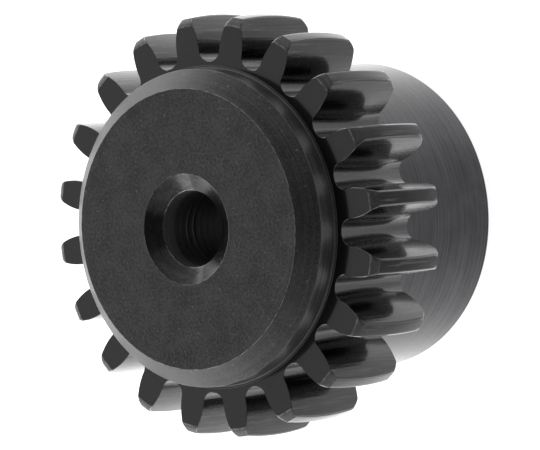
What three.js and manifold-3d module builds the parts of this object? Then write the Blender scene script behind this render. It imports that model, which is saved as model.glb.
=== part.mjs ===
// Toothed coupling hub with a plain rear barrel, after the pattern of a one-bar machined wheel.
// Millimetres. The wheel stands on its rear face: the axis is +Z and the nose points up.
//
//   flanged_core  nose flange, spigot and central bore
//   tooth_ring    twenty straight teeth, crowned along the axis, seated on the spigot
//   rear_collar   plain barrel behind the teeth, seated on the spigot
//   set_screw     radial grub screw through the barrel towards the bore

import * as THREE from 'three';
import { mergeVertices } from 'three/addons/utils/BufferGeometryUtils.js';
import Module from 'manifold-3d';

const wasm = await Module();
wasm.setup();

// ---- driving dimensions -------------------------------------------------------------------

const CLEARANCE = 0.3;            // left between neighbouring pieces
const LENGTH = 23;                // rear face to nose face
const BARREL_RADIUS = 12.5;       // nose and rear barrel alike
const SPIGOT_RADIUS = 9;
const TURNED_SEGMENTS = 60;

const MODULE = 1.5;
const TEETH = 20;
const FACE_WIDTH = 8.3;           // length of the teeth along the axis
const NOSE_LENGTH = 3.05;         // nose face to the front end of the teeth
const TIP_RADIUS = 16.88;         // at the middle of the face width
const TIP_DROP = 0.32;            // fall of the tip from the middle to the ends
const TIP_BEVEL_RADIAL = 0.6;
const FRONT_BEVEL_AXIAL = 0.45;
const REAR_BEVEL_AXIAL = 0.65;
const BEVEL_TURN_AXIAL = 0.3;     // the rounded bevel's middle corner, as shares of its two reaches
const BEVEL_TURN_RADIAL = 0.35;
const HALF_THICKNESS = 1.225;     // at the pitch circle, over a quarter pitch for the profile shift
const FLANK_SLOPE = 0.175;        // the tooth narrows with radius as slope and bow say
const FLANK_BOW = 0.1;
const FLANK_RELIEF = 0.13;        // each flank is thinner by this at the ends
const ROOT_RADIUS = 13.05;        // at the bottom of the full-round root
const ROUND_TOP_RADIUS = 13.95;   // where the round root meets the flanks
const ROUND_STEPS = 3;

const BORE_RADIUS = 3;
const COUNTERSINK_RADIUS = 4.3;
const COUNTERSINK_DEPTH = 0.78;   // cut by a 118 degree drill point
const NOSE_CHAMFER_RADIAL = 1.5;
const NOSE_CHAMFER_AXIAL = 1.3;
const EDGE_CHAMFER = 0.2;

const SCREW_RADIUS = 2.5;         // M5
const SCREW_LENGTH = 6;
const SCREW_HEIGHT = 6;           // above the rear face
const SCREW_SUNK = 0.8;           // below the barrel's surface
const SCREW_ANGLE = Math.PI / 2;  // towards +Y
const CUP_RADIUS = 1.25;
const CUP_DEPTH = 0.6;
const POINT_LENGTH = 1.2;
const SOCKET_ACROSS_FLATS = 2.5;
const SOCKET_DEPTH = 2.4;
const SCREW_SEGMENTS = 24;

const RING_FRONT = LENGTH - NOSE_LENGTH;
const RING_REAR = RING_FRONT - FACE_WIDTH;
const PITCH_RADIUS = (MODULE * TEETH) / 2;
const HALF_PITCH = Math.PI / TEETH;

// ---- helpers --------------------------------------------------------------------------------

function steel(name, geometry, color, roughness) {
  const material = new THREE.MeshStandardMaterial({ color, roughness, metalness: 0.9 });
  const mesh = new THREE.Mesh(geometry, material);
  mesh.name = name;
  return mesh;
}

// A closed outline of [radius, height] corners, listed anticlockwise, turned about +Z.
function turned(outline, segments) {
  const points = outline.map(([radius, height]) => new THREE.Vector2(radius, height));
  points.push(points[0].clone());
  const geometry = new THREE.LatheGeometry(points, segments);
  geometry.rotateX(Math.PI / 2);
  return geometry;
}

function toSolid(geometry) {
  const bare = geometry.clone();
  bare.deleteAttribute('normal');
  bare.deleteAttribute('uv');
  const welded = mergeVertices(bare, 1e-4);
  const mesh = new wasm.Mesh({
    numProp: 3,
    vertProperties: new Float32Array(welded.attributes.position.array),
    triVerts: new Uint32Array(welded.index.array),
  });
  return new wasm.Manifold(mesh);
}

function toGeometry(solid) {
  const { vertProperties, triVerts } = solid.getMesh();
  const geometry = new THREE.BufferGeometry();
  geometry.setAttribute('position', new THREE.BufferAttribute(new Float32Array(vertProperties), 3));
  geometry.setIndex(new THREE.BufferAttribute(new Uint32Array(triVerts), 1));
  geometry.computeVertexNormals();
  return geometry;
}

function cut(geometry, tool) {
  return toGeometry(toSolid(geometry).subtract(toSolid(tool)));
}

// The tool that cuts the set screw's hole, from radius `from` outwards to radius `to`.
function screwHole(from, to) {
  const radius = SCREW_RADIUS + CLEARANCE;
  const geometry = new THREE.CylinderGeometry(radius, radius, to - from, SCREW_SEGMENTS);
  geometry.rotateZ(-Math.PI / 2);
  geometry.translate((from + to) / 2, 0, SCREW_HEIGHT);
  geometry.rotateZ(SCREW_ANGLE);
  return geometry;
}

// ---- turned pieces --------------------------------------------------------------------------

function flangedCore() {
  const flangeBack = RING_FRONT + CLEARANCE;
  const outline = [
    [BORE_RADIUS, COUNTERSINK_DEPTH],
    [COUNTERSINK_RADIUS, 0],
    [SPIGOT_RADIUS, 0],
    [SPIGOT_RADIUS, flangeBack],
    [BARREL_RADIUS, flangeBack],
    [BARREL_RADIUS, LENGTH - NOSE_CHAMFER_AXIAL],
    [BARREL_RADIUS - NOSE_CHAMFER_RADIAL, LENGTH],
    [COUNTERSINK_RADIUS, LENGTH],
    [BORE_RADIUS, LENGTH - COUNTERSINK_DEPTH],
  ];
  return cut(turned(outline, TURNED_SEGMENTS), screwHole(0, SPIGOT_RADIUS + 1));
}

function rearCollar() {
  const seat = SPIGOT_RADIUS + CLEARANCE;
  const front = RING_REAR - CLEARANCE;
  const outline = [
    [seat, 0],
    [BARREL_RADIUS - EDGE_CHAMFER, 0],
    [BARREL_RADIUS, EDGE_CHAMFER],
    [BARREL_RADIUS, front],
    [seat, front],
  ];
  return cut(turned(outline, TURNED_SEGMENTS), screwHole(SPIGOT_RADIUS - 1, BARREL_RADIUS + 1));
}

// ---- tooth ring -----------------------------------------------------------------------------

// Half of a tooth's thickness at a radius, before the relief towards its ends.
function halfThickness(radius) {
  const above = radius - PITCH_RADIUS;
  return HALF_THICKNESS - FLANK_SLOPE * above - FLANK_BOW * above ** 2;
}

// One side of the full-round root: [radius, angle from the tooth's middle], bottom first.
function rootRound(relief) {
  const halfGap = ROUND_TOP_RADIUS * HALF_PITCH - halfThickness(ROUND_TOP_RADIUS) + relief;
  const side = [];
  for (let step = ROUND_STEPS - 1; step >= 0; step -= 1) {
    const turn = (Math.PI / 2) * (step / ROUND_STEPS);
    const radius = ROUND_TOP_RADIUS - (ROUND_TOP_RADIUS - ROOT_RADIUS) * Math.sin(turn);
    side.push([radius, HALF_PITCH - (halfGap * Math.cos(turn)) / radius]);
  }
  return side;
}

// The ring's outer outline at a distance from its middle plane: [radius, angle] pairs.
// Bevel is 0 on the crowned part of the tip and 1 on the two end faces, and round between.
function toothedSection(offset, bevel) {
  const fraction = (2 * offset / FACE_WIDTH) ** 2;
  const relief = FLANK_RELIEF * fraction;
  const tip = TIP_RADIUS - TIP_DROP * fraction - TIP_BEVEL_RADIAL * bevel;
  const flank = rootRound(relief);
  [PITCH_RADIUS, (PITCH_RADIUS + tip) / 2, tip].forEach((radius) => {
    flank.push([radius, (halfThickness(radius) - relief) / radius]);
  });
  const section = [];
  for (let tooth = 0; tooth < TEETH; tooth += 1) {
    const middle = tooth * 2 * HALF_PITCH;
    section.push([ROOT_RADIUS, middle - HALF_PITCH]);
    flank.forEach(([radius, angle]) => section.push([radius, middle - angle]));
    flank.slice().reverse().forEach(([radius, angle]) => section.push([radius, middle + angle]));
  }
  return section;
}

function toothRing() {
  const halfWidth = FACE_WIDTH / 2;
  const rear = -halfWidth + REAR_BEVEL_AXIAL;
  const front = halfWidth - FRONT_BEVEL_AXIAL;
  const crowned = [rear, rear / 2, 0, front / 2, front].map((offset) => [offset, 0]);
  const stations = [
    [-halfWidth, 1],
    [-halfWidth + REAR_BEVEL_AXIAL * BEVEL_TURN_AXIAL, BEVEL_TURN_RADIAL],
    ...crowned,
    [halfWidth - FRONT_BEVEL_AXIAL * BEVEL_TURN_AXIAL, BEVEL_TURN_RADIAL],
    [halfWidth, 1],
  ];
  const seat = SPIGOT_RADIUS + CLEARANCE;
  const loops = stations.map(([offset, bevel]) => (
    { section: toothedSection(offset, bevel), height: offset }));
  const ends = [loops[loops.length - 1], loops[0]];
  ends.forEach(({ section, height }) => {
    loops.push({ section: section.map(([, angle]) => [seat, angle]), height });
  });

  const middleHeight = (RING_FRONT + RING_REAR) / 2;
  const positions = [];
  loops.forEach(({ section, height }) => section.forEach(([radius, angle]) => {
    positions.push(radius * Math.cos(angle), radius * Math.sin(angle), middleHeight + height);
  }));

  // The loops run up the outside, over the front, down the bore and back to the first loop.
  const count = loops[0].section.length;
  const indices = [];
  loops.forEach((_, loop) => {
    const next = (loop + 1) % loops.length;
    for (let i = 0; i < count; i += 1) {
      const j = (i + 1) % count;
      const [a, b] = [loop * count + i, loop * count + j];
      const [c, d] = [next * count + i, next * count + j];
      indices.push(a, b, d, a, d, c);
    }
  });
  const geometry = new THREE.BufferGeometry();
  geometry.setAttribute('position', new THREE.Float32BufferAttribute(positions, 3));
  geometry.setIndex(indices);
  geometry.computeVertexNormals();
  return geometry;
}

// ---- set screw ------------------------------------------------------------------------------

// Turned about +Z with its cup point down, then laid along its radial axis.
function setScrew() {
  const outline = [
    [0, CUP_DEPTH],
    [CUP_RADIUS, 0],
    [SCREW_RADIUS, POINT_LENGTH],
    [SCREW_RADIUS, SCREW_LENGTH - EDGE_CHAMFER],
    [SCREW_RADIUS - EDGE_CHAMFER, SCREW_LENGTH],
    [0, SCREW_LENGTH],
  ].map(([radius, height]) => new THREE.Vector2(radius, height));
  const body = new THREE.LatheGeometry(outline, SCREW_SEGMENTS);
  const acrossCorners = SOCKET_ACROSS_FLATS / Math.cos(Math.PI / 6);
  const socket = new THREE.CylinderGeometry(acrossCorners / 2, acrossCorners / 2, SOCKET_DEPTH * 2, 6);
  socket.translate(0, SCREW_LENGTH, 0);
  const geometry = cut(body, socket);
  geometry.rotateZ(-Math.PI / 2);
  geometry.translate(BARREL_RADIUS - SCREW_SUNK - SCREW_LENGTH, 0, SCREW_HEIGHT);
  geometry.rotateZ(SCREW_ANGLE);
  return geometry;
}

// ---- assembly -------------------------------------------------------------------------------

const couplingHub = new THREE.Group();
couplingHub.add(
  steel('flanged_core', flangedCore(), 0x3c3d3f, 0.45),
  steel('tooth_ring', toothRing(), 0x3a3b3d, 0.4),
  steel('rear_collar', rearCollar(), 0x47484b, 0.35),
  steel('set_screw', setScrew(), 0x2b2b2d, 0.5),
);

export default couplingHub;
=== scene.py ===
"""Looks of a small toothed coupling hub in dark oxide steel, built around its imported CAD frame."""
import math

import bpy
import bmesh
from mathutils import Matrix, Vector


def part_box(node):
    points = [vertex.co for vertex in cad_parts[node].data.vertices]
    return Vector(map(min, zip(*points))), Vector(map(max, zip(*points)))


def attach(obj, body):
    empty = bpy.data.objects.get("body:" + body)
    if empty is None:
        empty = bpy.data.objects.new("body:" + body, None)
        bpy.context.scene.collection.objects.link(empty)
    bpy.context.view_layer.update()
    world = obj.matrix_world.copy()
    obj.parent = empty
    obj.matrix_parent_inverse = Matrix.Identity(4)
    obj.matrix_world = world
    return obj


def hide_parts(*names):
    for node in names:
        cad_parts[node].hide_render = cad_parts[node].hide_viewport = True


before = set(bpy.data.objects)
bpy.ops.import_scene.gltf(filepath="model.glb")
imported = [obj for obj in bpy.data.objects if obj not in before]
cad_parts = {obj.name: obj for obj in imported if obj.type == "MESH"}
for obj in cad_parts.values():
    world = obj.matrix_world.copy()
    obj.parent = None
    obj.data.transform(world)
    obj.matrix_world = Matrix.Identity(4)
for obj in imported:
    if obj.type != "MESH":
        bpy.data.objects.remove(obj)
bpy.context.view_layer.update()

MM = 0.001

# ---- sizes read from the frame, in millimetres ---------------------------------------------------

core_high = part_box("flanged_core")[1] / MM
ring_low, ring_high = (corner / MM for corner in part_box("tooth_ring"))
screw_low, screw_high = (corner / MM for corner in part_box("set_screw"))

LENGTH = core_high.z
BARREL_RADIUS = core_high.x
RING_REAR, RING_FRONT = ring_low.z, ring_high.z
RING_MIDDLE = (RING_REAR + RING_FRONT) / 2
HALF_WIDTH = (RING_FRONT - RING_REAR) / 2
TIP_RADIUS = ring_high.x
SCREW_HEIGHT = (screw_low.z + screw_high.z) / 2
SCREW_RADIUS = (screw_high.z - screw_low.z) / 2
SCREW_FOOT, SCREW_HEAD = screw_low.y, screw_high.y

# ---- other dimensions, in millimetres ------------------------------------------------------------

EXACT = 1e-6                   # two sizes this close are the same size
ON_SURFACE = 0.02              # a face this close to a surface lies on it
TURNED_SEGMENTS = 192
SPIGOT_RADIUS = 9.0
SEAT_GAP = 0.02                # hairline left at the hidden seats
REAR_EDGE_ROUND = 0.16

NOSE_CHAMFER_RADIAL = 1.5
NOSE_CHAMFER_AXIAL = 1.3
NOSE_FILLET = 0.12             # tool radius left where the nose meets the teeth
NOSE_FILLET_STEPS = 6
NOSE_LIP = 0.12                # width of the thin lip outside that radius
NOSE_LIP_HEIGHT = 0.04
NOSE_LIP_EDGE = ((1.0, 0.0), (1.0, 0.5), (0.93, 0.8), (0.8, 1.0), (0.0, 1.0))   # in lip widths and heights
NOSE_GAP = 0.03
NOSE_SIDE_ROUND = 0.18
FRONT_EDGE_ROUND = 0.06

BORE_RADIUS = 3.0
BORE_EDGE_ROUND = 0.08
COUNTERSINK_RADIUS = 4.36
COUNTERSINK_DEPTH = 0.78
COUNTERSINK_RIM = 0.03         # strip of the countersink's edge that is finished as the face
REAR_COUNTERSINK_ROUND = 0.05
BORE_PITCH = 0.75              # lead of the marks that the bore's tool left
BORE_GROOVE = 0.05
BORE_GROOVE_REACH = 0.22       # half a groove's width, in pitches
BORE_MOUTH = 1.2               # paler stretch behind the countersink: painted light where most light falls into the bore
BORE_PLAIN = 2.2               # almost smooth stretch at each end of the bore
BORE_PLAIN_SHARE = 0.25        # what the grooves have of their depth there
BORE_RISE = 0.6                # stretch over which they deepen
BORE_ENTRY = 0.4               # stretch behind the countersink over which they begin
BORE_MARKED = 4.6              # depth at which they have almost died out
BORE_INNER_SHARE = 0.15        # what is left of them deeper in
BORE_FALL = 0.8                # stretch over which they fade
BORE_ROWS_INSET = 0.2
BORE_ROWS_PER_TURN = 10

TEETH = 20
PITCH_RADIUS = 15.0
HALF_THICKNESS = 1.225
FLANK_SLOPE = 0.175
FLANK_BOW = 0.1
FLANK_RELIEF = 0.13
FLANK_ROWS = 9
TIP_DROP = 0.32
TIP_BEVEL_RADIAL = 0.6
FRONT_BEVEL_AXIAL = 0.45
REAR_BEVEL_AXIAL = 0.65
BEVEL_ROUNDNESS = 0.45         # 0 is a flat bevel, 1 a quarter ellipse
BEVEL_ROWS = 8
BEVEL_CROWDING = 1.5           # above 1, rows crowd towards the tooth's end
CROWN_ROWS = 12
ROOT_RADIUS = 13.05
ROOT_STEPS = 9
ROUND_TOP_RADIUS = 13.95       # where the full-round root meets the flanks
TIP_RIM = 0.11                 # rounding between flank and tip land
TIP_RIM_STEPS = 3
LAND_FACES = 2                 # faces of the tip land on each side of a tooth's middle
TOOTH_EDGE = 0.025             # broken edge of the teeth's two ends

THREAD_SEGMENTS = 48
THREAD_ROWS_PER_TURN = 8
THREAD_CREST = 1.25            # height of the unclipped ridge: above 1, so that the crest has a flat
THREAD_REACH = 0.36            # stretch over which the ridge drops by 1, in pitches
SCREW_PITCH = 0.8
SCREW_THREAD_DEPTH = 0.42
SCREW_FIT = 0.02               # how far the screw's crests stay inside its CAD solid
SCREW_HEAD_FIT = 0.01
SCREW_HEAD_CHAMFER = 0.45
SCREW_POINT = 1.2              # length of the tapered point
HOLE_CLEARANCE = 0.05
HOLE_THREAD_DEPTH = 0.3
SOCKET_SIDES = 6
SOCKET_ACROSS_FLATS = 2.5
SOCKET_DEPTH = 2.4
SOCKET_CONE = 0.55
SOCKET_TOOL_OVERLAP = 1.0
CUP_RADIUS = 1.25
CUP_DEPTH = 0.6
CUP_SEGMENTS = 32
CUP_TOOL_SCALE = 1.04
CUP_TOOL_OVERLAP = 0.05
CORE_HOLE_START = 1.0          # distance of the hole tool's inner end from the axis, inside the bore
CORE_HOLE_OVERLAP = 1.0
COLLAR_HOLE_OVERLAP = 1.5


# ---- mesh helpers --------------------------------------------------------------------------------

WELD = 1e-7                    # metres within which points are one
FLAT_FACE = 0.99999            # a normal this close to the axis belongs to a faced surface
HOLD = 0.05                    # millimetres of straight strip on each side of a rounded corner
CORNER_STEPS = 5
HUB_CREASE = 25                # degrees
SCREW_CREASE = 40


def clean(mesh):
    """Welds a mesh's doubled points, drops slivers and turns the faces outwards."""
    cleaned = bmesh.new()
    cleaned.from_mesh(mesh)
    bmesh.ops.remove_doubles(cleaned, verts=cleaned.verts, dist=WELD)
    bmesh.ops.dissolve_degenerate(cleaned, edges=cleaned.edges, dist=WELD)
    bmesh.ops.recalc_face_normals(cleaned, faces=cleaned.faces)
    cleaned.to_mesh(mesh)
    cleaned.free()


def new_object(name, points, faces, materials, face_materials=None):
    """A cleaned mesh object from points in millimetres, with one material or one for each face."""
    mesh = bpy.data.meshes.new(name)
    mesh.from_pydata([Vector(p) * MM for p in points], [], faces)
    for material in materials:
        mesh.materials.append(material)
    if face_materials is not None:
        slots = [materials.index(material) for material in face_materials]
        mesh.polygons.foreach_set("material_index", slots)
    clean(mesh)
    piece = bpy.data.objects.new(name, mesh)
    bpy.context.scene.collection.objects.link(piece)
    return piece


def smooth(piece, degrees):
    """Smooth shading, with edges sharper than an angle left crisp and the end faces truly flat."""
    mesh = piece.data
    mesh.set_sharp_from_angle(angle=math.radians(degrees))
    for polygon in mesh.polygons:
        polygon.use_smooth = abs(polygon.normal.z) < FLAT_FACE


def loop_faces(loops, count, closed):
    """Quads between neighbouring loops of count points each."""
    faces = []
    for loop in range(loops if closed else loops - 1):
        here = loop * count
        following = (loop + 1) % loops * count
        for i in range(count):
            j = (i + 1) % count
            faces.append((here + i, here + j, following + j, following + i))
    return faces


def rounded(corners):
    """A closed outline of (radius, height, rounding) corners with each corner turned into an arc."""
    outline = []
    for index, (x, y, rounding) in enumerate(corners):
        if rounding <= 0:
            outline.append((x, y))
            continue
        here = Vector((x, y))
        before = (Vector(corners[index - 1][:2]) - here).normalized()
        after = (Vector(corners[(index + 1) % len(corners)][:2]) - here).normalized()
        half = before.angle(after) / 2
        reach = rounding / math.tan(half)
        centre = here + (before + after).normalized() * (rounding / math.sin(half))
        start = here + before * reach - centre
        end = here + after * reach - centre
        turn = start.angle_signed(end)
        outline.append(tuple(here + before * (reach + HOLD)))
        for step in range(CORNER_STEPS + 1):
            spoke = start.copy()
            spoke.rotate(Matrix.Rotation(-turn * step / CORNER_STEPS, 2))
            outline.append(tuple(centre + spoke))
        outline.append(tuple(here + after * (reach + HOLD)))
    return outline


def lathe(name, outline, materials, material_of, radius_of=None):
    """An outline of (radius, height) points turned about the bore's axis."""
    points = []
    for radius, height in outline:
        for segment in range(TURNED_SEGMENTS):
            angle = 2 * math.pi * segment / TURNED_SEGMENTS
            r = radius_of(radius, height, angle) if radius_of else radius
            points.append((r * math.cos(angle), r * math.sin(angle), height))
    faces = loop_faces(len(outline), TURNED_SEGMENTS, closed=True)
    face_materials = []
    for index, (radius, height) in enumerate(outline):
        next_radius, next_height = outline[(index + 1) % len(outline)]
        material = material_of((radius + next_radius) / 2, (height + next_height) / 2)
        face_materials += [material] * TURNED_SEGMENTS
    return new_object(name, points, faces, materials, face_materials)


def limited(value, low, high=1.0):
    """A value kept between two limits."""
    return min(high, max(low, value))


# ---- node helpers --------------------------------------------------------------------------------

MIX_FIRST, MIX_SECOND, MIX_RESULT = 6, 7, 2   # the colour sockets of a mix node


def link(tree, value, socket):
    """Sets a socket from another socket or from a plain value."""
    if isinstance(value, bpy.types.NodeSocket):
        tree.links.new(value, socket)
    else:
        socket.default_value = value


def maths(tree, operation, first, second=0.0):
    """One step of arithmetic on two numbers."""
    node = tree.nodes.new("ShaderNodeMath")
    node.operation = operation
    link(tree, first, node.inputs[0])
    link(tree, second, node.inputs[1])
    return node.outputs[0]


def plus(tree, first, second):
    return maths(tree, "ADD", first, second)


def minus(tree, first, second):
    return maths(tree, "SUBTRACT", first, second)


def times(tree, first, second):
    return maths(tree, "MULTIPLY", first, second)


def larger(tree, first, second):
    return maths(tree, "MAXIMUM", first, second)


def combine(tree, x, y, z):
    """A vector from three numbers."""
    node = tree.nodes.new("ShaderNodeCombineXYZ")
    for value, socket in zip((x, y, z), node.inputs):
        link(tree, value, socket)
    return node.outputs[0]


def noise(tree, vector, scale, detail, roughness=0.55):
    """Smooth noise between 0 and 1."""
    node = tree.nodes.new("ShaderNodeTexNoise")
    link(tree, vector, node.inputs["Vector"])
    node.inputs["Scale"].default_value = scale
    node.inputs["Detail"].default_value = detail
    node.inputs["Roughness"].default_value = roughness
    return node.outputs["Fac"]


def ramp(tree, value, low, high, to_low=0.0, to_high=1.0, kind="SMOOTHSTEP"):
    """A value's range turned into another range, and held at its ends."""
    node = tree.nodes.new("ShaderNodeMapRange")
    node.interpolation_type = kind
    link(tree, value, node.inputs["Value"])
    for name, number in (("From Min", low), ("From Max", high), ("To Min", to_low), ("To Max", to_high)):
        link(tree, number, node.inputs[name])
    return node.outputs["Result"]


def band(tree, value, centre, width):
    """1 at a centre value, falling smoothly to 0 a width away on each side."""
    distance = maths(tree, "ABSOLUTE", minus(tree, value, centre))
    return ramp(tree, distance, 0.0, width, 1.0, 0.0)


def mixed(tree, share, first, second):
    """The first colour with a share of the second."""
    node = tree.nodes.new("ShaderNodeMix")
    node.data_type = "RGBA"
    link(tree, share, node.inputs["Factor"])
    link(tree, first, node.inputs[MIX_FIRST])
    link(tree, second, node.inputs[MIX_SECOND])
    return node.outputs[MIX_RESULT]


class Place:
    """Where a surface point lies on the hub, in millimetres: x, y, z and radius."""

    def __init__(self, tree):
        scaled = tree.nodes.new("ShaderNodeVectorMath")
        scaled.operation = "MULTIPLY"
        tree.links.new(tree.nodes.new("ShaderNodeTexCoord").outputs["Object"], scaled.inputs[0])
        scaled.inputs[1].default_value = (1 / MM,) * 3
        self.vector = scaled.outputs["Vector"]
        split = tree.nodes.new("ShaderNodeSeparateXYZ")
        tree.links.new(self.vector, split.inputs[0])
        self.x, self.y, self.z = split.outputs
        from_axis = tree.nodes.new("ShaderNodeVectorMath")
        from_axis.operation = "LENGTH"
        tree.links.new(combine(tree, self.x, self.y, 0.0), from_axis.inputs[0])
        self.radius = from_axis.outputs["Value"]


# ---- tool lines and scratches --------------------------------------------------------------------

AXIAL_DENSITY, AXIAL_DRIFT = 5.0, 0.13                    # noise per millimetre across and along the teeth
SCRATCH_LAYERS = ((0.5, 3.0), (1.4, 17.0), (2.6, 41.0))   # direction in radians, and a place in the noise
SCRATCH_DENSITY, SCRATCH_DRIFT = 7.0, 0.35                # noise per millimetre across and along
SCRATCH_LEVELS = (0.70, 0.78)                             # noise at which a scratch begins and is full


def broken_lines(tree, place, across, density, drift):
    """Noise coordinates that run fast across the lines and slowly with x and y."""
    return combine(tree, times(tree, across, density), times(tree, place.x, drift),
                   times(tree, place.y, drift))


def turned_lines(tree, place):
    """Fine rings on the end faces, left by a facing cut."""
    return broken_lines(tree, place, place.radius, density=5.0, drift=0.06)


def barrel_lines(tree, place):
    """Fine lines round the barrel."""
    return broken_lines(tree, place, place.z, density=11.0, drift=0.07)


def drill_lines(tree, place):
    """Broken chatter marks of a drill point."""
    return broken_lines(tree, place, place.radius, density=3.0, drift=0.9)


def axial_lines(tree, place):
    """Fine lines along the teeth."""
    return combine(tree, times(tree, place.x, AXIAL_DENSITY), times(tree, place.y, AXIAL_DENSITY),
                   times(tree, place.z, AXIAL_DRIFT))


def scratches(tree, place):
    """Sparse hairlines that handling left on the end face, in three directions."""
    found = 0.0
    for turn, offset in SCRATCH_LAYERS:
        along = plus(tree, times(tree, place.x, math.cos(turn)), times(tree, place.y, math.sin(turn)))
        across = minus(tree, times(tree, place.y, math.cos(turn)), times(tree, place.x, math.sin(turn)))
        spot = combine(tree, times(tree, along, SCRATCH_DRIFT), times(tree, across, SCRATCH_DENSITY), offset)
        line = ramp(tree, noise(tree, spot, scale=1.0, detail=1.0), *SCRATCH_LEVELS)
        found = larger(tree, found, line)
    return found


# ---- wear ----------------------------------------------------------------------------------------

EDGE_WEAR = 0.07               # half width of the bare line at the chamfer and at the bore's edge
COUNTERSINK_WEAR = 0.03
FRONT_WEAR = (0.2, 0.05)       # distances from the front face where edge wear begins and is full
BORE_EDGE_SHIFT = 0.03         # from the bore's wall to the middle of its rounded edge
BORE_EDGE_STRENGTH = 0.6
TOOTH_FRONT_WEAR = 0.04
TOOTH_REAR_WEAR = 0.05
TOOTH_TIP_WEAR = (1.6, 0.9)    # distances below the tips where tooth wear begins and is full


def nose_wear(tree, place):
    """Bare lines at the nose's chamfer, at the mouth of the countersink and at the bore's edge."""
    chamfer = band(tree, place.radius, BARREL_RADIUS - NOSE_CHAMFER_RADIAL, EDGE_WEAR)
    mouth = band(tree, place.radius, COUNTERSINK_RADIUS, COUNTERSINK_WEAR)
    begins, full = FRONT_WEAR
    near_front = ramp(tree, place.z, LENGTH - begins, LENGTH - full)
    front_edges = times(tree, larger(tree, chamfer, mouth), near_front)
    bore_edge = band(tree, place.radius, BORE_RADIUS + BORE_EDGE_SHIFT, EDGE_WEAR)
    return larger(tree, front_edges, times(tree, bore_edge, BORE_EDGE_STRENGTH))


def tooth_wear(tree, place):
    """Bare lines where the tooth ends meet their flanks and tips."""
    front = band(tree, place.z, RING_FRONT, TOOTH_FRONT_WEAR)
    rear = band(tree, place.z, RING_REAR, TOOTH_REAR_WEAR)
    begins, full = TOOTH_TIP_WEAR
    tips = ramp(tree, place.radius, TIP_RADIUS - begins, TIP_RADIUS - full)
    return times(tree, larger(tree, front, rear), tips)


# ---- materials -----------------------------------------------------------------------------------

BARE_STEEL = (0.13, 0.126, 0.122, 1.0)
OXIDE_SPECULAR = 0.25
FILM_GLOSS = 0.09              # roughness of the oil film over the oxide
DARK_BLUE_SHARE = 0.6          # how much of the warmth the dark tone's blue gets
SHADE_LEVELS = (0.38, 0.62)    # noise at which the oxide is darkest and lightest
MOTTLE_SCALE = 0.55
GRAIN_SCALE = 5.0
GRAIN_RELIEF = 0.08            # height of the grain beside that of the lines
SPECK_SCALE = 3.6
SPECK_LEVELS = (0.73, 0.77)    # noise at which a speck begins and is full, less the speck share
SPECK_STRENGTH = 0.4
STREAK_LEVELS = (0.56, 0.68)   # noise at which a streak begins and is full
WEAR_SCALE = 1.7
WEAR_LEVELS = (0.36, 0.60)     # noise at which a worn line is gone and is whole
GLOSS_LEVELS = (0.3, 0.7)
GLOSS_SPREAD = (-0.03, 0.05)   # change of roughness at those two levels


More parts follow.
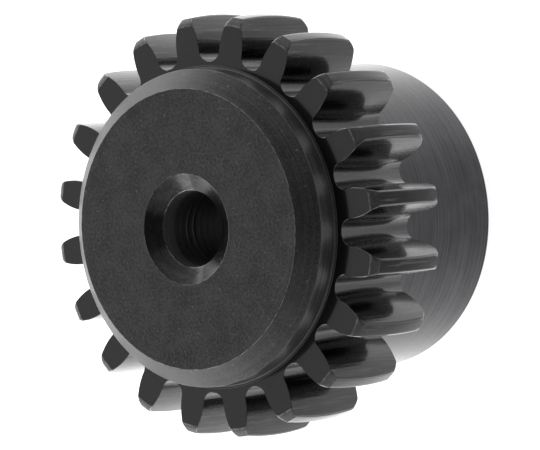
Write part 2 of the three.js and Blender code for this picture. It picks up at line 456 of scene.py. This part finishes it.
def oxide_steel(name, lines, tone, gloss, line_depth, contrast=0.15, warmth=0.02, line_share=0.4,
                mottle_share=0.2, speck_share=0.0, streak_share=0.0, scratch_share=0.0, wear=None,
                film=0.0, scatter=0.0):
    """Steel under a thin dark oxide, with tool lines, mottling, pale specks and bare metal at worn edges.

    The tone varies by the contrast, and lines, mottling and grain share that variation. Warmth tints the
    tone, streaks are bare metal along the lines, the film is oil, and scatter makes the metal duller.
    """
    material = bpy.data.materials.new(name)
    material.use_nodes = True
    tree = material.node_tree
    tree.nodes.clear()
    output = tree.nodes.new("ShaderNodeOutputMaterial")
    shader = tree.nodes.new("ShaderNodeBsdfPrincipled")
    tree.links.new(shader.outputs[0], output.inputs["Surface"])
    place = Place(tree)

    line = noise(tree, lines(tree, place), scale=1.0, detail=4.0, roughness=0.6)
    mottle = noise(tree, place.vector, MOTTLE_SCALE, detail=5.0, roughness=0.62)
    grain = noise(tree, place.vector, GRAIN_SCALE, detail=3.0, roughness=0.6)

    dark_tint = (1 + warmth, 1.0, 1 + warmth * DARK_BLUE_SHARE)
    light_tint = (1.0, 1.0, 1 + warmth)
    dark = [channel * tone * (1 - contrast) for channel in dark_tint]
    light = [channel * tone * (1 + contrast) for channel in light_tint]
    shade = plus(tree, times(tree, mottle, mottle_share), times(tree, line, line_share))
    shade = plus(tree, shade, times(tree, grain, 1 - mottle_share - line_share))
    colour = mixed(tree, ramp(tree, shade, *SHADE_LEVELS), (*dark, 1.0), (*light, 1.0))
    if speck_share > 0:
        begins, full = (level - speck_share for level in SPECK_LEVELS)
        specks = ramp(tree, noise(tree, place.vector, SPECK_SCALE, detail=1.0), begins, full)
        colour = mixed(tree, times(tree, specks, SPECK_STRENGTH), colour, BARE_STEEL)
    if streak_share > 0:
        streaks = ramp(tree, line, *STREAK_LEVELS)
        colour = mixed(tree, times(tree, streaks, streak_share), colour, BARE_STEEL)
    if scratch_share > 0:
        colour = mixed(tree, times(tree, scratches(tree, place), scratch_share), colour, BARE_STEEL)
    if wear:
        broken = ramp(tree, noise(tree, place.vector, WEAR_SCALE, detail=4.0, roughness=0.7), *WEAR_LEVELS)
        colour = mixed(tree, times(tree, wear(tree, place), broken), colour, BARE_STEEL)
    tree.links.new(colour, shader.inputs["Base Color"])

    unevenness = plus(tree, times(tree, grain, 0.5), times(tree, line, 0.5))
    rough = ramp(tree, unevenness, *GLOSS_LEVELS, *(gloss + change for change in GLOSS_SPREAD))
    tree.links.new(rough, shader.inputs["Roughness"])
    shader.inputs["Metallic"].default_value = 1.0 - scatter
    shader.inputs["Specular IOR Level"].default_value = OXIDE_SPECULAR
    shader.inputs["Coat Weight"].default_value = film
    shader.inputs["Coat Roughness"].default_value = FILM_GLOSS

    bump = tree.nodes.new("ShaderNodeBump")
    bump.inputs["Strength"].default_value = 1.0
    bump.inputs["Distance"].default_value = line_depth * MM
    tree.links.new(plus(tree, line, times(tree, grain, GRAIN_RELIEF)), bump.inputs["Height"])
    tree.links.new(bump.outputs[0], shader.inputs["Normal"])
    tree.links.new(bump.outputs[0], shader.inputs["Coat Normal"])
    return material


faced = oxide_steel("faced_oxide_steel", turned_lines, tone=0.034, gloss=0.36, line_depth=0.002,
                    contrast=0.30, line_share=0.10, mottle_share=0.28, speck_share=0.02,
                    scratch_share=0.25, wear=nose_wear)
turned = oxide_steel("turned_oxide_steel", barrel_lines, tone=0.025, gloss=0.42, line_depth=0.004,
                     contrast=0.32, speck_share=0.02, scatter=0.2)
nose_side = oxide_steel("nose_side_oxide_steel", barrel_lines, tone=0.034, gloss=0.40, line_depth=0.006,
                        contrast=0.35, line_share=0.6, streak_share=0.14, scatter=0.5)
# The bore's two tones sit well above the oxide's own tone as painted light inside the bore, palest in the
# stretch behind the front countersink; the tapped holes' walls take the first tone too.
bored_with_painted_light = oxide_steel("bored_oxide_steel_with_painted_light", barrel_lines, tone=0.120, gloss=0.48, line_depth=0.003)
bore_mouth_with_painted_light = oxide_steel("bore_mouth_oxide_steel_with_painted_light", barrel_lines, tone=0.200, gloss=0.50, line_depth=0.003)
drilled = oxide_steel("drilled_oxide_steel", drill_lines, tone=0.024, gloss=0.15, line_depth=0.006,
                      contrast=0.3, wear=nose_wear)
hobbed = oxide_steel("hobbed_oxide_steel", axial_lines, tone=0.010, gloss=0.24, line_depth=0.012,
                     contrast=0.6, warmth=0.06, line_share=0.7, streak_share=0.20, wear=tooth_wear,
                     film=0.70, scatter=0.1)
tooth_end = oxide_steel("tooth_end_oxide_steel", turned_lines, tone=0.011, gloss=0.20, line_depth=0.001,
                        contrast=0.14, line_share=0.1, film=0.34, scatter=0.25)
tooth_tip = oxide_steel("tooth_tip_oxide_steel", axial_lines, tone=0.005, gloss=0.18, line_depth=0.008,
                        contrast=0.5, line_share=0.7, streak_share=0.20, wear=tooth_wear, film=0.24)
tooth_bevel = oxide_steel("tooth_bevel_oxide_steel", turned_lines, tone=0.042, gloss=0.48,
                          line_depth=0.003, contrast=0.3, wear=tooth_wear, scatter=0.2)
barrel = oxide_steel("barrel_oxide_steel", barrel_lines, tone=0.023, gloss=0.22, line_depth=0.006,
                     contrast=0.60, warmth=0.16, line_share=0.74, film=0.22)
screw_black = oxide_steel("screw_black_oxide", barrel_lines, tone=0.022, gloss=0.32, line_depth=0.003)
screw_socket = oxide_steel("screw_socket_black_oxide", axial_lines, tone=0.018, gloss=0.40, line_depth=0.004)


# ---- core: nose, spigot and bore -----------------------------------------------------------------

def bore_radius(radius, height, angle):
    """The bore's wall with its helical tool marks; other points keep their radius."""
    if abs(radius - BORE_RADIUS) > EXACT:
        return radius
    depth = min(height - COUNTERSINK_DEPTH, LENGTH - COUNTERSINK_DEPTH - height)
    strength = limited((depth - BORE_PLAIN) / BORE_RISE, BORE_PLAIN_SHARE) * limited(depth / BORE_ENTRY, 0.0)
    strength *= limited((BORE_MARKED - depth) / BORE_FALL, BORE_INNER_SHARE)
    phase = (height / BORE_PITCH - angle / (2 * math.pi)) % 1.0
    groove = max(0.0, 1 - abs(phase - 0.5) / BORE_GROOVE_REACH)
    return radius + BORE_GROOVE * strength * groove * groove * (3 - 2 * groove)


def core_outline():
    """The core's section, with the nose carried down almost to the teeth."""
    nose_base = RING_FRONT + NOSE_GAP
    lip_top = nose_base + NOSE_LIP_HEIGHT
    fillet_edge = BARREL_RADIUS + NOSE_FILLET
    lip = [(fillet_edge + NOSE_LIP * width, nose_base + NOSE_LIP_HEIGHT * height, 0.0)
           for width, height in NOSE_LIP_EDGE]
    fillet = []
    for step in range(1, NOSE_FILLET_STEPS + 1):
        angle = math.pi / 2 * step / NOSE_FILLET_STEPS
        fillet.append((BARREL_RADIUS + NOSE_FILLET * (1 - math.sin(angle)),
                       lip_top + NOSE_FILLET * (1 - math.cos(angle)), 0.0))
    outline = rounded([
        (BORE_RADIUS, COUNTERSINK_DEPTH, BORE_EDGE_ROUND),
        (COUNTERSINK_RADIUS, 0.0, REAR_COUNTERSINK_ROUND),
        (SPIGOT_RADIUS - SEAT_GAP / 2, 0.0, 0.0),
        (SPIGOT_RADIUS - SEAT_GAP / 2, nose_base, 0.0),
        *lip,
        *fillet,
        (BARREL_RADIUS, LENGTH - NOSE_CHAMFER_AXIAL, NOSE_SIDE_ROUND),
        (BARREL_RADIUS - NOSE_CHAMFER_RADIAL, LENGTH, FRONT_EDGE_ROUND),
        (COUNTERSINK_RADIUS, LENGTH, FRONT_EDGE_ROUND),
        (BORE_RADIUS, LENGTH - COUNTERSINK_DEPTH, BORE_EDGE_ROUND),
    ])
    top = LENGTH - COUNTERSINK_DEPTH - BORE_ROWS_INSET
    bottom = COUNTERSINK_DEPTH + BORE_ROWS_INSET
    rows = round((top - bottom) / BORE_PITCH * BORE_ROWS_PER_TURN)
    outline += [(BORE_RADIUS, top + (bottom - top) * row / rows) for row in range(rows + 1)]
    return outline


def core_finish(radius, height):
    """The material at a place on the core's section."""
    # The bore's wall takes the tones with painted light, the paler one just behind the front countersink.
    if radius <= BORE_RADIUS + EXACT:
        return bore_mouth_with_painted_light if height > LENGTH - COUNTERSINK_DEPTH - BORE_MOUTH else bored_with_painted_light
    if radius < COUNTERSINK_RADIUS - COUNTERSINK_RIM:
        return drilled
    if radius > BARREL_RADIUS - ON_SURFACE:
        return nose_side
    on_an_end = height <= ON_SURFACE or height >= LENGTH - ON_SURFACE
    if radius > BARREL_RADIUS - NOSE_CHAMFER_RADIAL and not on_an_end:
        return turned
    return faced


CORE_FINISHES = [faced, turned, bored_with_painted_light, drilled, nose_side, bore_mouth_with_painted_light]
core = lathe("nose_and_core", core_outline(), CORE_FINISHES, core_finish, bore_radius)


# ---- crowned teeth -------------------------------------------------------------------------------

def half_thickness(radius):
    """Half of a tooth's thickness at a radius, before the relief towards its ends."""
    above = radius - PITCH_RADIUS
    return HALF_THICKNESS - FLANK_SLOPE * above - FLANK_BOW * above ** 2


def tooth_half(tip, relief, shrink):
    """(radius, half thickness) from just above the root's bottom up one flank to the tip land."""
    half_gap = ROUND_TOP_RADIUS * math.pi / TEETH - half_thickness(ROUND_TOP_RADIUS) + relief
    half = []
    for step in range(ROOT_STEPS - 1, -1, -1):
        turn = math.pi / 2 * step / ROOT_STEPS
        radius = ROUND_TOP_RADIUS - (ROUND_TOP_RADIUS - ROOT_RADIUS) * math.sin(turn)
        half.append((radius - shrink, radius * math.pi / TEETH - half_gap * math.cos(turn) - shrink))
    for row in range(1, FLANK_ROWS + 1):
        radius = ROUND_TOP_RADIUS + (tip - TIP_RIM - ROUND_TOP_RADIUS) * row / FLANK_ROWS
        half.append((radius - shrink, half_thickness(radius) - relief - shrink))
    land = half_thickness(tip) - relief - shrink
    for step in range(1, TIP_RIM_STEPS + 1):
        turn = math.pi / 2 * step / TIP_RIM_STEPS
        half.append((tip - TIP_RIM * (1 - math.sin(turn)) - shrink, land - TIP_RIM * (1 - math.cos(turn))))
    half.append((tip - shrink, (land - TIP_RIM) / 2))
    return half


def tooth_section(offset, bevel, shrink):
    """The ring's outline at a distance from its middle plane, as (radius, angle) pairs."""
    fraction = (offset / HALF_WIDTH) ** 2
    tip = TIP_RADIUS - TIP_DROP * fraction - TIP_BEVEL_RADIAL * bevel
    half = tooth_half(tip, FLANK_RELIEF * fraction, shrink)
    section = []
    for tooth in range(TEETH):
        middle = tooth * 2 * math.pi / TEETH
        section.append((ROOT_RADIUS - shrink, middle - math.pi / TEETH))
        section += [(radius, middle - side / radius) for radius, side in half]
        section.append((half[-1][0], middle))
        section += [(radius, middle + side / radius) for radius, side in reversed(half)]
    return section


def bevel_stations(axial):
    """(distance from the tooth's end, how much of the bevel is cut there), outermost first."""
    edge = TOOTH_EDGE / axial
    stations = []
    for row in range(BEVEL_ROWS + 1):
        share = edge + (1 - edge) * (row / BEVEL_ROWS) ** BEVEL_CROWDING
        quarter = 1 - math.sqrt(1 - (1 - share) ** 2)
        bevel = BEVEL_ROUNDNESS * quarter + (1 - BEVEL_ROUNDNESS) * (1 - share)
        stations.append((axial * share, bevel))
    return stations


def tooth_stations():
    """(offset, bevel, shrink) along the teeth: broken ends, rounded tip corners and the crown between."""
    rear, front = -HALF_WIDTH + REAR_BEVEL_AXIAL, HALF_WIDTH - FRONT_BEVEL_AXIAL
    stations = [(-HALF_WIDTH, 1.0, TOOTH_EDGE)]
    stations += [(-HALF_WIDTH + reach, bevel, 0.0) for reach, bevel in bevel_stations(REAR_BEVEL_AXIAL)]
    stations += [(rear + (front - rear) * row / CROWN_ROWS, 0.0, 0.0) for row in range(1, CROWN_ROWS)]
    front_bevel = reversed(bevel_stations(FRONT_BEVEL_AXIAL))
    stations += [(HALF_WIDTH - reach, bevel, 0.0) for reach, bevel in front_bevel]
    stations.append((HALF_WIDTH, 1.0, TOOTH_EDGE))
    return stations


def make_teeth():
    """The toothed ring: a skin along the stations, closed by its two ends and its seat."""
    stations = tooth_stations()
    loops = [(tooth_section(offset, bevel, shrink), offset) for offset, bevel, shrink in stations]
    seat = SPIGOT_RADIUS + SEAT_GAP / 2
    for section, offset in (loops[-1], loops[0]):
        loops.append(([(seat, angle) for _, angle in section], offset))
    points = []
    for section, offset in loops:
        points += [(r * math.cos(a), r * math.sin(a), RING_MIDDLE + offset) for r, a in section]
    count = len(loops[0][0])
    faces = loop_faces(len(loops), count, closed=True)

    per_tooth = count // TEETH
    lands = range(per_tooth // 2 - LAND_FACES, per_tooth // 2 + LAND_FACES)
    finishes = []
    for (_, bevel, _), (_, next_bevel, _) in zip(stations, stations[1:]):
        land = tooth_bevel if bevel + next_bevel > 0 else tooth_tip
        finishes += [land if index % per_tooth in lands else hobbed for index in range(count)]
    finishes += [tooth_end] * (len(faces) - len(finishes))
    return new_object("crowned_teeth", points, faces, [hobbed, tooth_end, tooth_tip, tooth_bevel], finishes)


teeth = make_teeth()


# ---- rear barrel ---------------------------------------------------------------------------------

def collar_finish(radius, height):
    """The material at a place on the barrel's section."""
    return faced if height < ON_SURFACE else barrel


collar = lathe("rear_barrel", rounded([
    (SPIGOT_RADIUS + SEAT_GAP / 2, 0.0, 0.0),
    (BARREL_RADIUS, 0.0, REAR_EDGE_ROUND),
    (BARREL_RADIUS, RING_REAR - SEAT_GAP, 0.0),
    (SPIGOT_RADIUS + SEAT_GAP / 2, RING_REAR - SEAT_GAP, 0.0),
]), [barrel, faced], collar_finish)


# ---- set screw and its tapped hole ---------------------------------------------------------------

def threaded(name, wall, foot, head, materials):
    """A helically ridged rod along +Y, closed at both ends; wall gives the radius at a row."""
    rows = round((head - foot) / SCREW_PITCH * THREAD_ROWS_PER_TURN)
    points = []
    for row in range(rows + 1):
        along = foot + (head - foot) * row / rows
        for segment in range(THREAD_SEGMENTS):
            angle = 2 * math.pi * segment / THREAD_SEGMENTS
            radius = wall(along, (along / SCREW_PITCH - angle / (2 * math.pi)) % 1.0)
            points.append((radius * math.cos(angle), along, SCREW_HEIGHT + radius * math.sin(angle)))
    faces = loop_faces(rows + 1, THREAD_SEGMENTS, closed=False)
    faces.append(tuple(range(THREAD_SEGMENTS)))
    faces.append(tuple(reversed(range(rows * THREAD_SEGMENTS, (rows + 1) * THREAD_SEGMENTS))))
    return new_object(name, points, faces, materials)


def ridge(phase):
    """A thread's profile over one pitch, 1 on the crest and 0 in the root."""
    return limited(THREAD_CREST - abs(phase - 0.5) / THREAD_REACH, 0.0)


def hole_wall(along, phase):
    """The radius of the tool that cuts the tapped hole."""
    return SCREW_RADIUS + HOLE_CLEARANCE + HOLE_THREAD_DEPTH * ridge(phase)


def screw_wall(along, phase):
    """The radius of the screw, with its chamfered head and tapered point."""
    chamfer = limited((SCREW_HEAD - along) / SCREW_HEAD_CHAMFER, 0.0)
    point = max(0.0, 1 - (along - SCREW_FOOT) / SCREW_POINT)
    full = SCREW_RADIUS - SCREW_FIT - SCREW_THREAD_DEPTH * (1 - ridge(phase) * chamfer)
    return min(full, SCREW_RADIUS - (SCREW_RADIUS - CUP_RADIUS) * point - SCREW_FIT)


def carve(piece, cutter):
    """Cuts one closed mesh from another, then removes the cutter."""
    modifier = piece.modifiers.new("cut", "BOOLEAN")
    modifier.operation = "DIFFERENCE"
    modifier.solver = "EXACT"
    modifier.object = cutter
    bpy.context.view_layer.update()
    graph = bpy.context.evaluated_depsgraph_get()
    carved = bpy.data.meshes.new_from_object(piece.evaluated_get(graph))
    clean(carved)
    piece.modifiers.clear()
    old = piece.data
    piece.data = carved
    carved.name = old.name
    bpy.data.meshes.remove(old)
    bpy.data.objects.remove(cutter)


def hex_prism(foot, head):
    """The tool for the screw's hexagon socket, with the drilled cone at its bottom."""
    corner = SOCKET_ACROSS_FLATS / 2 / math.cos(math.pi / SOCKET_SIDES)
    turns = [2 * math.pi * side / SOCKET_SIDES for side in range(SOCKET_SIDES)]
    points = [(corner * math.cos(turn), y, SCREW_HEIGHT + corner * math.sin(turn))
              for y in (foot, head) for turn in turns]
    cone_tip = len(points)
    points.append((0.0, foot - SOCKET_CONE, SCREW_HEIGHT))
    faces = loop_faces(2, SOCKET_SIDES, closed=False)
    faces.append(tuple(reversed(range(SOCKET_SIDES, 2 * SOCKET_SIDES))))
    faces += [(cone_tip, side, (side + 1) % SOCKET_SIDES) for side in range(SOCKET_SIDES)]
    return new_object("socket_tool", points, faces, [screw_socket])


def cup_tool():
    """The tool for the cup in the screw's point."""
    rim = CUP_RADIUS * CUP_TOOL_SCALE
    turns = [2 * math.pi * k / CUP_SEGMENTS for k in range(CUP_SEGMENTS)]
    points = [(rim * math.cos(turn), SCREW_FOOT - CUP_TOOL_OVERLAP, SCREW_HEIGHT + rim * math.sin(turn))
              for turn in turns]
    points.append((0.0, SCREW_FOOT + CUP_DEPTH, SCREW_HEIGHT))
    faces = [tuple(range(CUP_SEGMENTS))]
    faces += [(CUP_SEGMENTS, k, (k + 1) % CUP_SEGMENTS) for k in range(CUP_SEGMENTS)]
    return new_object("cup_tool", points, faces, [screw_black])


carve(core, threaded("core_hole_tool", hole_wall, CORE_HOLE_START,
                     SPIGOT_RADIUS + CORE_HOLE_OVERLAP, [bored_with_painted_light]))
carve(collar, threaded("collar_hole_tool", hole_wall, SPIGOT_RADIUS - COLLAR_HOLE_OVERLAP,
                       BARREL_RADIUS + COLLAR_HOLE_OVERLAP, [bored_with_painted_light]))
screw = threaded("set_screw_m5", screw_wall, SCREW_FOOT, SCREW_HEAD - SCREW_HEAD_FIT,
                 [screw_black, screw_socket])
carve(screw, hex_prism(SCREW_HEAD - SOCKET_DEPTH, SCREW_HEAD + SOCKET_TOOL_OVERLAP))
carve(screw, cup_tool())

for piece, crease, body, node, slot in (
    (core, HUB_CREASE, "hub", "flanged_core", "turned_steel"),
    (teeth, HUB_CREASE, "hub", "tooth_ring", "hobbed_steel"),
    (collar, HUB_CREASE, "hub", "rear_collar", "barrel_steel"),
    (screw, SCREW_CREASE, "screw", "set_screw", "screw_steel"),
):
    smooth(piece, crease)
    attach(piece, body)
    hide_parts(node)


# ---- camera --------------------------------------------------------------------------------------

CAMERA_HEADING = 3.92          # degrees from +Y towards +X
CAMERA_TILT = 50.41            # degrees below the horizon
CAMERA_ROLL = 94.62            # degrees clockwise, so that the bore's axis lies across the frame
CAMERA_DISTANCE = 305.47       # millimetres
CAMERA_AIM = (-0.15, 0.60, 11.98)
CAMERA_SENSOR = 36.0
CAMERA_LENS = 253.33
CAMERA_CLIP = (0.01, 10.0)     # metres


def camera_axes():
    """The camera's right, up and forward directions."""
    heading, tilt, roll = (math.radians(a) for a in (CAMERA_HEADING, CAMERA_TILT, CAMERA_ROLL))
    level_x, level_y = math.sin(heading), math.cos(heading)
    forward = Vector((level_x * math.cos(tilt), level_y * math.cos(tilt), -math.sin(tilt)))
    level = forward.cross(Vector((0, 0, 1))).normalized()
    upright = level.cross(forward)
    up = upright * math.cos(roll) + level * math.sin(roll)
    return forward.cross(up), up, forward


def make_camera():
    """The camera that looks down on the nose's front face."""
    right, up, forward = camera_axes()
    data = bpy.data.cameras.new("camera")
    data.sensor_width = CAMERA_SENSOR
    data.lens = CAMERA_LENS
    data.clip_start, data.clip_end = CAMERA_CLIP
    camera = bpy.data.objects.new("camera", data)
    bpy.context.scene.collection.objects.link(camera)
    place = (Vector(CAMERA_AIM) - forward * CAMERA_DISTANCE) * MM
    turned_to = Matrix((right, up, -forward)).transposed().to_4x4()
    camera.matrix_world = Matrix.Translation(place) @ turned_to
    bpy.context.scene.camera = camera


make_camera()


# ---- floor, light and colour ---------------------------------------------------------------------

FLOOR_REACH = 2.0              # metres
FLOOR_LEVEL = -0.00002         # metres, just below the rear face
FLOOR_COLOUR = (0.85, 0.85, 0.85, 1.0)
FLOOR_ROUGHNESS = 0.12
FLOOR_METALLIC = 0.58
FLOOR_GLOW = 0.84
WHITE = (1.0, 1.0, 1.0, 1.0)

WALL_BRIGHT, CEILING, STRIP_DARK = 3.1, 0.7, 0.22
WALL_RISE = (-0.7, -0.1)       # the y of a direction over which the walls brighten
WALL_RISE_SHARE = 0.4          # their brightness where that begins
WALL_FALL = (0.2, 0.9)         # the x of a direction over which they dim again
WALL_FALL_SHARE = 0.68         # what is left of their brightness where that ends
CEILING_START = (0.05, 0.95)   # the z of a direction over which walls turn into ceiling
STRIP_EDGE = (0.30, 0.48)      # the |x| over which the strip fades out at its sides
STRIP_END = (-0.15, 0.35)      # the y over which it fades out at its far end
STRIP_FOOT = (0.15, 0.40)      # the z over which it fades in above the horizon

LIGHT_AIM = (0.0, 0.0, 0.01)   # metres, as are the lights' places and sizes
KEY_PLACE, KEY_SIZE, KEY_POWER = (-0.58, 0.48, 0.24), (0.45, 0.35), 1.8
FILL_PLACE, FILL_SIZE, FILL_POWER = (0.60, 0.45, 0.12), (0.4, 0.3), 1.2


def make_floor():
    """A white, slightly glossy floor that glows enough to stay white."""
    mesh = bpy.data.meshes.new("floor")
    corners = ((-1, -1), (1, -1), (1, 1), (-1, 1))
    points = [(x * FLOOR_REACH, y * FLOOR_REACH, FLOOR_LEVEL) for x, y in corners]
    mesh.from_pydata(points, [], [(0, 1, 2, 3)])
    floor = bpy.data.objects.new("floor", mesh)
    bpy.context.scene.collection.objects.link(floor)
    material = bpy.data.materials.new("white_floor")
    material.use_nodes = True
    shader = material.node_tree.nodes["Principled BSDF"]
    shader.inputs["Base Color"].default_value = FLOOR_COLOUR
    shader.inputs["Roughness"].default_value = FLOOR_ROUGHNESS
    shader.inputs["Metallic"].default_value = FLOOR_METALLIC
    shader.inputs["Emission Color"].default_value = WHITE
    shader.inputs["Emission Strength"].default_value = FLOOR_GLOW
    mesh.materials.append(material)


def area_light(name, place, size, power):
    """A soft rectangular light aimed at the hub, itself out of sight."""
    data = bpy.data.lights.new(name, "AREA")
    data.shape = "RECTANGLE"
    data.size, data.size_y = size
    data.energy = power
    lamp = bpy.data.objects.new(name, data)
    bpy.context.scene.collection.objects.link(lamp)
    lamp.location = place
    lamp.rotation_euler = (Vector(LIGHT_AIM) - Vector(place)).to_track_quat("-Z", "Y").to_euler()
    lamp.visible_camera = False


def make_world():
    """A bright even studio, with a dark strip overhead where the camera and its operator stand."""
    world = bpy.data.worlds.new("studio")
    bpy.context.scene.world = world
    world.use_nodes = True
    tree = world.node_tree
    tree.nodes.clear()
    output = tree.nodes.new("ShaderNodeOutputWorld")
    background = tree.nodes.new("ShaderNodeBackground")
    tree.links.new(background.outputs[0], output.inputs["Surface"])
    split = tree.nodes.new("ShaderNodeSeparateXYZ")
    tree.links.new(tree.nodes.new("ShaderNodeTexCoord").outputs["Generated"], split.inputs[0])
    x, y, z = split.outputs

    rising = ramp(tree, y, *WALL_RISE, WALL_BRIGHT * WALL_RISE_SHARE, WALL_BRIGHT)
    walls = times(tree, rising, ramp(tree, x, *WALL_FALL, 1.0, WALL_FALL_SHARE))
    height = ramp(tree, z, *CEILING_START, kind="LINEAR")
    room = mixed(tree, height, combine(tree, walls, walls, walls), (CEILING,) * 3 + (1.0,))
    beside = ramp(tree, maths(tree, "ABSOLUTE", x), *STRIP_EDGE, 1.0, 0.0)
    behind = ramp(tree, y, *STRIP_END, 1.0, 0.0)
    above = ramp(tree, z, *STRIP_FOOT)
    strip = times(tree, times(tree, beside, behind), above)
    tree.links.new(mixed(tree, strip, room, (STRIP_DARK,) * 3 + (1.0,)), background.inputs["Color"])
    background.inputs["Strength"].default_value = 1.0


make_floor()
make_world()
area_light("key_softbox", KEY_PLACE, KEY_SIZE, KEY_POWER)
area_light("fill_softbox", FILL_PLACE, FILL_SIZE, FILL_POWER)
bpy.context.scene.view_settings.view_transform = "Standard"
